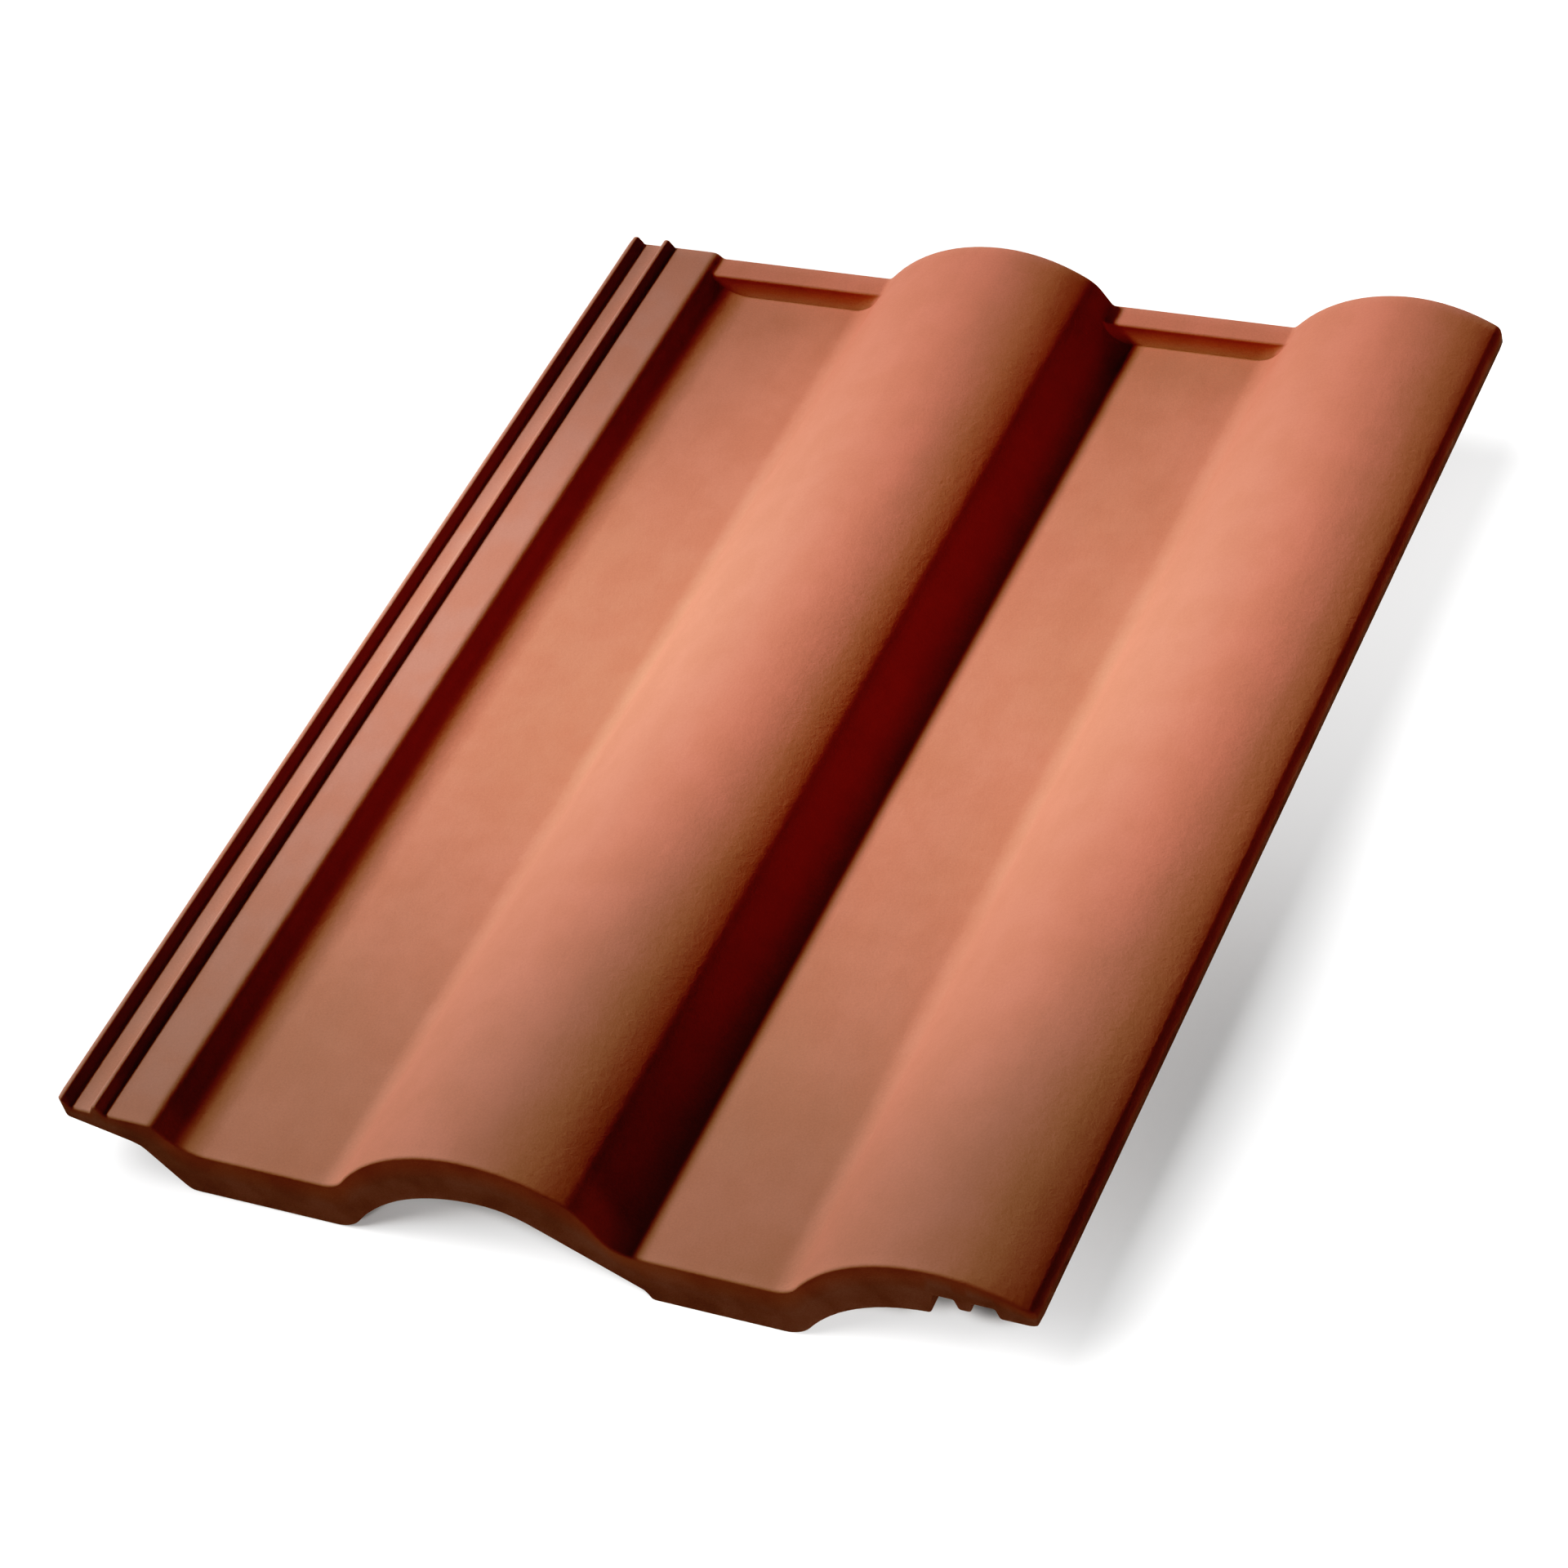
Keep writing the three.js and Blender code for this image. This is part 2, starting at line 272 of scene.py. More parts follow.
# %% Choose the lines of the blank
COARSE_ACROSS = 3.4
COARSE_ALONG = 4.2
CLOSEST = 0.05
ROUND_SHARES = (0.134, 0.5, 1.0)


def wall_lines(foot, top, ease):
    """Lines at a wall's foot, middle and top, and through the rounds beside it."""
    outwards = math.copysign(ease, foot - top)
    beside_foot = [foot + outwards * share for share in ROUND_SHARES]
    beside_top = [top - outwards * share for share in ROUND_SHARES]
    return [foot, (foot + top) / 2, top, *beside_foot, *beside_top]


def rim_lines(length, first_round, last_round):
    """Lines through the rounds at both ends of the blank."""
    first = [first_round * share for share in ROUND_SHARES]
    last = [length - last_round * share for share in ROUND_SHARES]
    return [0, *first, *last, length]


def spread(start, end, step):
    return list(np.arange(start, end, step))


def finished_lines(lines, coarse):
    """The lines in order, without near doubles, and with wide gaps divided evenly."""
    kept = []
    for line in sorted(lines):
        if not kept or line - kept[-1] > CLOSEST:
            kept.append(line)
    divided = []
    for start, end in zip(kept, kept[1:]):
        count = max(1, math.ceil((end - start) / coarse))
        divided += list(np.linspace(start, end, count, endpoint=False))
    return np.array([*divided, kept[-1]])


print("lines through a one-millimetre round:", rim_lines(10, 1, 1)[:4])

# %% Lines across the tile and lines along it
EASE = SIZES["Wall round"]
NIB_HALF = SIZES["Nib width"] / 2
HOLLOW_STEP = 0.9
PLATE_SLOPE = (26, 52)
CREASES = (91.4, 243.8)
BEFORE_CREASE, PAST_CREASE = 0.8, 15
FALLING_SIDE = (172, 202)

lines_across = rim_lines(SIZES["Width"], SIZES["Rim round"], SIZES["Overlock rim round"])
for foot, top in (
    (OUTER_RIB_WIDTH, OUTER_RIB_WIDTH - SIZES["Rib draft"]),
    (INNER_RIB, INNER_RIB + SIZES["Rib draft"]),
    (SIZES["Inner rib end"], SIZES["Inner rib end"] - SIZES["Rib draft"]),
    (SIZES["Lock start"] - SIZES["Lock wall run"], SIZES["Lock start"]),
    (SIZES["Tooth start"], SIZES["Tooth start"] + SIZES["Tooth draft"]),
    (SIZES["Tooth end"], SIZES["Tooth end"] - SIZES["Tooth draft"]),
    (SIZES["Lip start"], SIZES["Lip start"] + SIZES["Tooth draft"]),
):
    lines_across += wall_lines(foot, top, EASE)
lines_across += spread(*PLATE_SLOPE, HOLLOW_STEP)
for crease in CREASES:
    lines_across += spread(crease - BEFORE_CREASE, crease + PAST_CREASE, HOLLOW_STEP)
lines_across += spread(*FALLING_SIDE, HOLLOW_STEP)
for middle in (SIZES["Left nib"], SIZES["Right nib"]):
    for side in (-1, 1):
        foot = middle + side * NIB_HALF
        lines_across += wall_lines(foot, foot - side * SIZES["Nib side draft"], EASE)

lines_along = rim_lines(SIZES["Length"], SIZES["Rim round"], SIZES["Rim round"])
for foot, top in (
    (SIZES["Apron length"], SIZES["Apron length"] - SIZES["Cross draft"]),
    (SIZES["Weather rib start"], SIZES["Weather rib start"] + SIZES["Cross draft"]),
    (SIZES["Weather rib end"], SIZES["Weather rib end"] - SIZES["Cross draft"]),
    (SIZES["Nib bearing"], SIZES["Nib bearing"] + SIZES["Nib bearing draft"]),
    (SIZES["Nib back"], SIZES["Nib back"] - SIZES["Nib back draft"]),
    (SIZES["Head bar front"], SIZES["Head bar front"] + SIZES["Head bar draft"]),
):
    lines_along += wall_lines(foot, top, EASE)

across = finished_lines(lines_across, COARSE_ACROSS) * MM
along = finished_lines(lines_along, COARSE_ALONG) * MM
print("lines across and along:", len(across), len(along))

# %% Round the corners of the outline
CORNER_ROUND = 2.5 * MM


def rounded_corners(place, limits):
    """Carries points near the blank's square corners onto a quarter circle."""
    from_low = place
    from_high = limits - place
    near = np.minimum(from_low, from_high)
    share = np.clip(1 - near / CORNER_ROUND, 0, 1)
    pulled = share * np.sqrt(1 - share[:, ::-1] ** 2 / 2)
    moved = CORNER_ROUND * (share - pulled)
    return np.where(from_low < from_high, place + moved, place - moved)


print("a corner point moves to:", rounded_corners(np.zeros((1, 2)), np.ones(2))[0].round(5))

# %% Lay out the points of the top, the bottom and the rim
RIM_ROWS = 5

columns, rows = len(across), len(along)
grid = np.array([(x, y) for y in along for x in across])
limits = np.array((across[-1], along[-1]))
nearest_rim = np.minimum(grid, limits - grid).min(axis=1)
grid = rounded_corners(grid, limits)

index = np.arange(columns * rows).reshape(rows, columns)
loop = [*index[0, :], *index[1:, -1], *index[-1, -2::-1], *index[-2:0:-1, 0]]
skins = [(grid, nearest_rim, 1.0), (grid, nearest_rim, 0.0)]
rim_levels = np.linspace(0, 1, RIM_ROWS + 2)[1:-1]
skins += [(grid[loop], np.zeros(len(loop)), level) for level in rim_levels]

points = np.vstack([np.column_stack((flat, np.zeros(len(flat)))) for flat, _, _ in skins])
rim_distance = np.concatenate([distance for _, distance, _ in skins])
upper_share = np.concatenate([np.full(len(flat), level) for flat, _, level in skins])
print("points of the blank:", len(points))

# %% Join the points with faces, and write on each point what the press has to know
corner = index[:-1, :-1].ravel()
squares = np.column_stack((corner, corner + 1, corner + columns + 1, corner + columns))
faces = [*squares.tolist(), *(squares[:, ::-1] + columns * rows).tolist()]
loop = np.array(loop)
rings = [loop + columns * rows]
for level in range(RIM_ROWS):
    rings.append(np.arange(len(loop)) + 2 * columns * rows + level * len(loop))
rings.append(loop)
for below, above in zip(rings, rings[1:]):
    ring = (below, np.roll(below, -1), np.roll(above, -1), above)
    faces += np.column_stack(ring).tolist()

blank_mesh = bpy.data.meshes.new("clay_blank")
blank_mesh.from_pydata(points.tolist(), [], faces)
for name, values in (("rim_distance", rim_distance), ("upper_share", upper_share)):
    attribute = blank_mesh.attributes.new(name, "FLOAT", "POINT")
    attribute.data.foreach_set("value", values.astype(np.float32))
blank = bpy.data.objects.new("clay_blank", blank_mesh)
bpy.context.scene.collection.objects.link(blank)
print("faces of the blank:", len(blank_mesh.polygons))

# %% [markdown]
# ## The fired clay
#
# The weather side carries a thin coloured slip, sprayed on before firing. It is salmon on the flat
# clay, pinker on the rolls, duller on the ribbed plate and browner at the tail, all under soft
# mottling, faint streaks and a fine mineral grain. Shade is painted into the colour as well: a
# little on the ribbed plate, more towards the tail, where the light fades, and most at two
# corners, the head's left and the tail's right. The underside is bare clay, greyer and dustier. A
# picture of a tile would stretch on the walls of the ribs, so every mark is procedural and is read
# from
# Object coordinates, which a Mapping node turns level with the tile and counts from its tail. Only
# the split between slip and bare clay, and the thin slip on sharp edges, come from attributes that
# the press writes.

# %% Mix colours as a maker mixes slips
def shade(red, green, blue):
    """A colour given as it looks on a screen, from 0 to 255, as the shader needs it."""
    def linear(value):
        share = value / 255
        return share / 12.92 if share <= 0.04045 else ((share + 0.055) / 1.055) ** 2.4

    return (linear(red), linear(green), linear(blue), 1.0)


def blended(bench, factor, below, above):
    """One colour laid over another by a factor."""
    settings = {"data_type": "RGBA", "blend_type": "MIX"}
    sockets = {0: factor, 6: below, 7: above}
    return bench.node("ShaderNodeMix", settings, sockets, output=2)


def stepped(bench, value, low, high):
    """A soft step: 0 below low, 1 above high."""
    settings = {"interpolation_type": "SMOOTHSTEP"}
    sockets = {"Value": value, "From Min": low, "From Max": high}
    return bench.node("ShaderNodeMapRange", settings, sockets)


def noise(bench, place, scale, detail, roughness, distortion=0.0):
    """Soft lumps: scale is how many there are to a metre, detail how finely they break up."""
    sockets = {
        "Vector": place,
        "Scale": scale,
        "Detail": detail,
        "Roughness": roughness,
        "Distortion": distortion,
    }
    return bench.node("ShaderNodeTexNoise", None, sockets)


print("mid grey as the shader needs it:", round(shade(128, 128, 128)[0], 4))

# %% Start the material with places on the tile
STREAK_STRETCH = 0.16
TAIL_SHIFT = SIZES["Length"] / 2 * MM

fired_clay = bpy.data.materials.new("fired_clay_slip")
fired_clay.use_nodes = True
fired_clay.node_tree.nodes.clear()
kiln = Bench(fired_clay.node_tree)

object_place = kiln.node("ShaderNodeTexCoord", output="Object")
tile_place = kiln.node(
    "ShaderNodeMapping",
    {"vector_type": "POINT"},
    {
        "Vector": object_place,
        "Rotation": (-PITCH, 0.0, 0.0),
        "Location": (0.0, TAIL_SHIFT, 0.0),
    },
)
streak_place = kiln.node(
    "ShaderNodeMapping",
    {"vector_type": "POINT"},
    {"Vector": tile_place, "Scale": (1.0, STREAK_STRETCH, 1.0)},
)
across_tile = kiln.part(tile_place, "X")
up_tile = kiln.part(tile_place, "Y")
clay_height = kiln.part(tile_place, "Z")
slip = kiln.node("ShaderNodeAttribute", {"attribute_name": "slip"}, output="Fac")
arris = kiln.node("ShaderNodeAttribute", {"attribute_name": "arris"}, output="Fac")
print("nodes for places and marks:", len(fired_clay.node_tree.nodes))

# %% Marks of the kiln and the spray: patches, mottling, streaks and grain
# A noise has a scale, a detail, a roughness and perhaps a distortion. The edges are the values
# between which the noise turns from nothing into a full mark.
PATCH_NOISE, PATCH_EDGES = (13.0, 2.0, 0.45, 0.3), (0.36, 0.66)
MOTTLING_NOISE, MOTTLING_EDGES = (62.0, 3.0, 0.55), (0.34, 0.68)
STREAK_NOISE, STREAK_EDGES = (95.0, 2.0, 0.5), (0.35, 0.7)
GRAIN_NOISE = (1500.0, 2.0, 0.6)

patches = stepped(kiln, noise(kiln, tile_place, *PATCH_NOISE), *PATCH_EDGES)
mottling = stepped(kiln, noise(kiln, tile_place, *MOTTLING_NOISE), *MOTTLING_EDGES)
streaks = stepped(kiln, noise(kiln, streak_place, *STREAK_NOISE), *STREAK_EDGES)
grain = noise(kiln, tile_place, *GRAIN_NOISE)
print("nodes with the marks:", len(fired_clay.node_tree.nodes))

# %% Places where the slip differs, and where shade is painted
# Each pair says where a place starts to count and where it counts in full, in metres: across from
# the middle of the tile, up from its tail, and in height. The flat of the pans is 0.0248 high.
UNDERLOCK_EDGE = (-0.134, -0.128)
ROLL_HEIGHTS = (0.0215, 0.029)
# The tail's pair marks a browner slip together with painted shade of the light fading there; the
# two corner pairs mark painted shade only.
TAIL_BROWN_AND_SHADE = (0.03, 0.2)
SHADED_HEAD, SHADED_HEAD_SIDE = (0.26, 0.36), (-0.12, -0.07)
SHADED_TAIL, SHADED_TAIL_SIDE = (0.02, 0.11), (0.02, 0.12)

on_underlock = 1.0 - stepped(kiln, across_tile, *UNDERLOCK_EDGE)
on_roll = stepped(kiln, clay_height, *ROLL_HEIGHTS) * (1.0 - on_underlock)
# Browner and darker towards the tail: partly the slip's own colour, partly painted shade of the
# light fading towards the tail.
tail_brown_and_shade = 1.0 - stepped(kiln, up_tile, *TAIL_BROWN_AND_SHADE)
# Painted shade: darker at the head's left corner and at the tail's right corner, where the light
# falls off.
head_corner_shade = stepped(kiln, up_tile, *SHADED_HEAD) * (
    1.0 - stepped(kiln, across_tile, *SHADED_HEAD_SIDE)
)
tail_corner_shade = (1.0 - stepped(kiln, up_tile, *SHADED_TAIL)) * stepped(
    kiln, across_tile, *SHADED_TAIL_SIDE
)
print("nodes with the places:", len(fired_clay.node_tree.nodes))

# %% Lay the colours over each other
SALMON, BISCUIT = shade(191, 133, 108), shade(182, 130, 101)
ROLL_PINK = shade(191, 124, 102)
# A duller, greyer slip on the plate, made a little darker as painted shade of the ribs and slope
# beside it.
PLATE_DULL_AND_SHADE = shade(177, 129, 112)
MOTTLED = shade(180, 121, 97)
STREAKED = shade(164, 112, 90)
# A browner tint for the tail, darkened further as painted shade.
BROWNED_AND_SHADED = shade(158, 124, 104)
# Painted shade for the two corners.
CORNER_SHADE = shade(138, 98, 80)
THIN_SLIP = shade(204, 146, 118)
BARE_PALE, BARE_DARK = shade(184, 147, 129), shade(160, 124, 107)
BARE_MOTTLING = 0.3
GRAIN_DARKEST, GRAIN_SPAN = 0.9, 0.2

marks = (
    (mottling, 0.38, MOTTLED),
    (streaks, 0.12, STREAKED),
    # Painted shade: towards the tail, where it is mixed with the browner slip, and at the two
    # corners.
    (tail_brown_and_shade, 0.42, BROWNED_AND_SHADED),
    (head_corner_shade + tail_corner_shade, 0.28, CORNER_SHADE),
    (arris, 0.2, THIN_SLIP),
)
colour = blended(kiln, patches, SALMON, BISCUIT)
colour = blended(kiln, on_roll, colour, ROLL_PINK)
# The plate's colour carries a little painted shade.
colour = blended(kiln, on_underlock, colour, PLATE_DULL_AND_SHADE)
for mark, strength, tint in marks:
    colour = blended(kiln, mark * strength, colour, tint)
bare = blended(kiln, mottling * BARE_MOTTLING, BARE_PALE, BARE_DARK)
colour = blended(kiln, slip, bare, colour)
grain_shade = GRAIN_DARKEST + grain * GRAIN_SPAN
colour = kiln.node(
    "ShaderNodeVectorMath",
    {"operation": "SCALE"},
    {0: colour, "Scale": grain_shade},
)
print("nodes with the colours:", len(fired_clay.node_tree.nodes))

# %% Roughness and relief
SLIP_ROUGHNESS = 0.78
MOTTLING_ROUGHER, ARRIS_SMOOTHER, BARE_ROUGHER = 0.08, 0.06, 0.1
SAND_NOISE = (420.0, 2.0, 0.55)
GRAIN_RELIEF, SAND_RELIEF = 0.5, 0.8

roughness = (
    SLIP_ROUGHNESS
    + mottling * MOTTLING_ROUGHER
    - arris * ARRIS_SMOOTHER
    + (1.0 - slip) * BARE_ROUGHER
)
relief = grain * GRAIN_RELIEF + noise(kiln, tile_place, *SAND_NOISE) * SAND_RELIEF
bump = kiln.node(
    "ShaderNodeBump",
    None,
    {"Strength": 0.35, "Distance": 0.00035, "Height": relief},
)
surface = kiln.node(
    "ShaderNodeBsdfPrincipled",
    None,
    {"Base Color": colour, "Roughness": roughness, "Normal": bump, "IOR": 1.45},
)
kiln.node("ShaderNodeOutputMaterial", None, {"Surface": surface})
print("material nodes:", len(fired_clay.node_tree.nodes))

# %% [markdown]
# ## The press
#
# Any shape that leaves a two-part die is free of undercuts, so it is fully told by two heights at
# each place: the upper die's and the lower die's. A Geometry Nodes tree works both out from the
# place on the blank and lifts each skin to its own. Rolls are arcs, the plate's slope is a
# straight line, smooth maxima keep small fillets where they meet, and ribs, teeth, nibs and the
# apron are blocks with drafted walls and rounded arrises.

# %% Start the tree with its named sizes
press_tree = bpy.data.node_groups.new("press_between_dies", "GeometryNodeTree")
faceplate = press_tree.interface
faceplate.new_socket("Blank", in_out="INPUT", socket_type="NodeSocketGeometry")
for name in SIZES:
    faceplate.new_socket(name, in_out="INPUT", socket_type="NodeSocketFloat")
faceplate.new_socket("Tile", in_out="OUTPUT", socket_type="NodeSocketGeometry")

press = Bench(press_tree)
group_input = press_tree.nodes.new("NodeGroupInput")
size = {name: Reading(press, group_input.outputs[name]) for name in SIZES}


def blank_value(name):
    """A number that the blank carries at each of its points."""
    return press.node(
        "GeometryNodeInputNamedAttribute", {"data_type": "FLOAT"}, {"Name": name}
    )


place = press.node("GeometryNodeInputPosition")
x = press.part(place, "X")
y = press.part(place, "Y")
rim = blank_value("rim_distance")
upper = blank_value("upper_share")
print("named inputs of the press:", len(size))

# %% [markdown]
# A roll's section is a chain of arcs, each touching the next. A hollow leads out of the pan into
# the rising arc, which ends at the crest. Past it a tighter crown, a shoulder, a short straight
# flank and another hollow lead down to the next pan. The crest, height and reach of a roll settle
# where the arcs are centred, and one rule gives how far any of them departs from its tangent. The
# underside has the same centres, with domes smaller and hollows larger by the inset, and is then
# dropped.

# %% Work out where a roll's arcs are centred
CROWN_SINE, CROWN_COSINE = math.sin(CROWN_ANGLE), math.cos(CROWN_ANGLE)
FLANK_SINE, FLANK_COSINE = math.sin(FLANK_ANGLE), math.cos(FLANK_ANGLE)


def roll_plan(name):
    """The centres and slopes of a roll, from its crest, height and reach."""
    crest, height, reach = (size[f"{name} {part}"] for part in ("crest", "height", "reach"))
    rise_radius = (reach * reach + height * height) / (height * 2.0)
    span = rise_radius + size["Crease radius"]
    before = press.math("SQRT", height * (span * 2.0 - height))
    crown_over = size["Crown radius"] - size["Shoulder radius"]
    shoulder_height = height - size["Crown radius"] + crown_over * CROWN_COSINE
    apart = size["Shoulder radius"] + size["Hollow radius"] - FLANK_COSINE * (
        size["Hollow radius"] - shoulder_height
    )
    shoulder = crest + crown_over * CROWN_SINE
    return {
        "crest": crest,
        "rise radius": rise_radius,
        "rise sine": before / span,
        "rise share": height / span,
        "crease": crest - before,
        "shoulder": shoulder,
        "hollow": shoulder + apart / FLANK_SINE,
    }


first_roll, second_roll = roll_plan("First"), roll_plan("Second")
print("a roll is planned by:", ", ".join(first_roll))

# %% The rule of a roll
def departed(distance, radius, start, end):
    """How far an arc leaves its tangent, at a distance from its middle, between two sines."""
    on_arc = press.between(radius * start, distance, radius * end)
    return radius * math.sqrt(1 - start**2) - press.math(
        "SQRT", radius * radius - on_arc * on_arc
    )


def climbed(plan, inset):
    """How far the rising side has come up from the pan."""
    crease = size["Crease radius"] + inset
    rise = plan["rise radius"] - inset
    return departed(x - plan["crease"], crease, 0, plan["rise sine"]) + (
        rise * plan["rise share"] - departed(plan["crest"] - x, rise, 0, plan["rise sine"])
    )


def fallen(plan, inset):
    """How far the falling side has gone down from the crest."""
    crown = size["Crown radius"] - inset
    shoulder = size["Shoulder radius"] - inset
    hollow = size["Hollow radius"] + inset
    flank_start = plan["shoulder"] + shoulder * FLANK_SINE
    flank_end = plan["hollow"] - hollow * FLANK_SINE
    on_flank = press.between(0.0, x - flank_start, flank_end - flank_start)
    return (
        departed(x - plan["crest"], crown, 0, CROWN_SINE)
        + departed(x - plan["shoulder"], shoulder, CROWN_SINE, FLANK_SINE)
        + on_flank * math.tan(FLANK_ANGLE)
        + hollow * (1 - FLANK_COSINE)
        - departed(plan["hollow"] - x, hollow, 0, FLANK_SINE)
    )


def roll(plan, inset, drop):
    """Height of a roll's surface, set in square to it by inset and then dropped straight down."""
    return climbed(plan, inset) - fallen(plan, inset) - (inset + drop)


# %% Fillets where two surfaces meet
def smooth_highest(first, second, fillet):
    return press.math("SMOOTH_MAX", first, second, fillet)


def smooth_lowest(first, second, fillet):
    return press.math("SMOOTH_MIN", first, second, fillet)


print("nodes for the plans of the rolls:", len(press_tree.nodes))

# %% The rule of a block with drafted walls and rounded arrises
def round_over(distance, radius):
    """How far a quarter round falls away, at a distance in from its wall."""
    left_over = radius - press.between(0.0, distance, radius)
    span = press.highest(radius * radius - left_over * left_over, 0.0)
    return radius - press.math("SQRT", span)


def with_block(base, height, walls, up):
    """A base with a block on it, up 1, or down from it, up -1.

    Each wall gives the distance inside its foot, and its draft.
    """
    ease = press.lowest(
        size["Wall round"], press.math("ABSOLUTE", height - base) * 0.5
    )
    reach = press.lowest(*[distance for distance, _ in walls])
    inside = press.lowest(*[distance - draft for distance, draft in walls])
    risen = press.clamped(press.lowest(*[distance / draft for distance, draft in walls]))
    top = height - round_over(inside, ease) * up
    foot = base + round_over(-reach, ease) * up
    return foot + (top - foot) * risen


# %% The upper die: plate, slope, pans, rolls, ribs and head bars
slope_hollow = size["Slope hollow radius"]
slope_end = size["Slope foot"] + slope_hollow * math.tan(SLOPE_ANGLE / 2)
before_slope_end = slope_end - x
straight_slope = before_slope_end - slope_hollow * math.sin(SLOPE_ANGLE)
slope_line = departed(before_slope_end, slope_hollow, 0, math.sin(SLOPE_ANGLE)) + (
    press.highest(straight_slope, 0.0) * math.tan(SLOPE_ANGLE)
)
plate = smooth_lowest(slope_line, size["Plate top"], size["Edge round"])
upper_die = press.highest(plate, roll(first_roll, 0.0, 0.0), roll(second_roll, 0.0, 0.0))

outer_rib = [(size["Outer rib width"] - x, size["Rib draft"])]
inner_rib = [
    (x - size["Inner rib"], size["Rib draft"]),
    (size["Inner rib end"] - x, size["Rib draft"]),
]
upper_die = with_block(upper_die, size["Rib top"], outer_rib, 1)
upper_die = with_block(upper_die, size["Rib top"], inner_rib, 1)

bar_walls = [(y - size["Head bar front"], size["Head bar draft"])]
head_bar = with_block(-size["Plate top"], size["Head bar height"], bar_walls, 1)
upper_die = smooth_highest(upper_die, head_bar, size["Crease round"])
print("nodes with the upper die:", len(press_tree.nodes))

# %% [markdown]
# The lower die has the same rolls, drawn in. Behind the tail a low rib stops blown rain. The tail
# itself goes down to form the apron, whose edge falls past the first crest on one long slope and
# ends in a low wall beside the next pan. Near the head two deep pockets form the nibs that hook on
# the batten. On the right the die leaves the teeth and recesses that close over the ribs of the
# neighbouring tile.

# %% The lower die: underside, weather rib and apron
def lower_surface(depth, *rolls):
    """The underside of plate, pans and rolls, with the pans at one depth."""
    fall = size["Plate root underside"] - size["Plate edge underside"]
    plate_under = size["Plate edge underside"] + x * (fall / size["Plate root"])
    root_line = size["Plate root underside"] - (x - size["Plate root"]) * math.tan(SLOPE_ANGLE)
    under = smooth_lowest(plate_under, root_line, size["Edge round"])
    return press.highest(smooth_highest(under, -depth, size["Edge round"]), *rolls)


inset = size["Flank inset"]
drop = size["Body thickness"] - inset
lower_die = lower_surface(
    inset + drop, roll(first_roll, inset, drop), roll(second_roll, inset, drop)
)

rib_inset = inset + size["Weather rib depth"]
weather_rib = lower_surface(
    rib_inset + drop, roll(first_roll, rib_inset, drop), roll(second_roll, rib_inset, drop)
)
weather_walls = [
    (y - size["Weather rib start"], size["Cross draft"]),
    (size["Weather rib end"] - y, size["Cross draft"]),
]
lower_die = with_block(lower_die, weather_rib, weather_walls, -1)

apron_drop = size["Apron drop"]
apron_crown = size["Apron crown radius"]
past_crest = x - size["First crest"]
past_crown = press.highest(past_crest - apron_crown * math.sin(APRON_SLOPE), 0.0)
on_slope = climbed(first_roll, 0.0) - apron_drop - (
    departed(past_crest, apron_crown, 0, math.sin(APRON_SLOPE))
    + past_crown * math.tan(APRON_SLOPE)
)
past_wall = press.clamped((x - size["Apron wall"]) / size["Apron wall run"])
apron_roll = on_slope - past_wall * (on_slope + apron_drop)
apron = lower_surface(apron_drop, apron_roll, roll(second_roll, 0.0, apron_drop))
apron_walls = [(size["Apron length"] - y, size["Cross draft"])]
lower_die = with_block(lower_die, apron, apron_walls, -1)
print("nodes with the underside and the apron:", len(press_tree.nodes))

# %% The nibs and the overlock
nib_across = size["Nib width"] / 2 - press.lowest(
    press.math("ABSOLUTE", x - size["Left nib"]),
    press.math("ABSOLUTE", x - size["Right nib"]),
)
nib_walls = [
    (nib_across, size["Nib side draft"]),
    (y - size["Nib bearing"], size["Nib bearing draft"]),
    (size["Nib back"] - y, size["Nib back draft"]),
]
lower_die = with_block(lower_die, size["Nib tip"], nib_walls, -1)

lock_run = size["Lock wall run"]
tooth_draft = size["Tooth draft"]
lock_walls = [(x - size["Lock start"] + lock_run, lock_run)]
tooth_walls = [(x - size["Tooth start"], tooth_draft), (size["Tooth end"] - x, tooth_draft)]
lip_walls = [(x - size["Lip start"], tooth_draft)]
lower_die = with_block(lower_die, size["Lock recess"], lock_walls, 1)
lower_die = with_block(lower_die, size["Tooth bottom"], tooth_walls, -1)
lower_die = with_block(lower_die, size["Tooth bottom"], lip_walls, -1)
print("nodes with the whole lower die:", len(press_tree.nodes))

# %% Round the rim, add the slight unevenness of pressed clay, and lift both skins
SLUMP = {"Scale": 24.0, "Detail": 2.0, "Roughness": 0.45}
UNDERSIDE_SAG = 0.5

overlock_width = size["Width"] - size["Second crest"]
towards_overlock = press.clamped((x - size["Second crest"]) / overlock_width)
upper_round = size["Rim round"] + towards_overlock * (
    size["Overlock rim round"] - size["Rim round"]
)
slump = press.node("ShaderNodeTexNoise", None, {"Vector": place, **SLUMP})
sag = size["Unevenness"] * slump
upper_face = upper_die - round_over(rim, upper_round) - sag
lower_face = lower_die + round_over(rim, size["Rim round"]) + sag * UNDERSIDE_SAG
skin_height = lower_face + (upper_face - lower_face) * upper
lifted = press.node("ShaderNodeCombineXYZ", None, {"X": x, "Y": y, "Z": skin_height})
pressed = press.node(
    "GeometryNodeSetPosition",
    None,
    {"Geometry": Reading(press, group_input.outputs["Blank"]), "Position": lifted},
)
print("nodes with both skins lifted:", len(press_tree.nodes))

# %% Write where the slip lies and where it is thin, then finish the tree
# The slip ends on the rim: there is none up to 0.52 of its height, and it is full from 0.92.
SLIP_STEEPNESS, SLIP_START = 2.5, 1.3


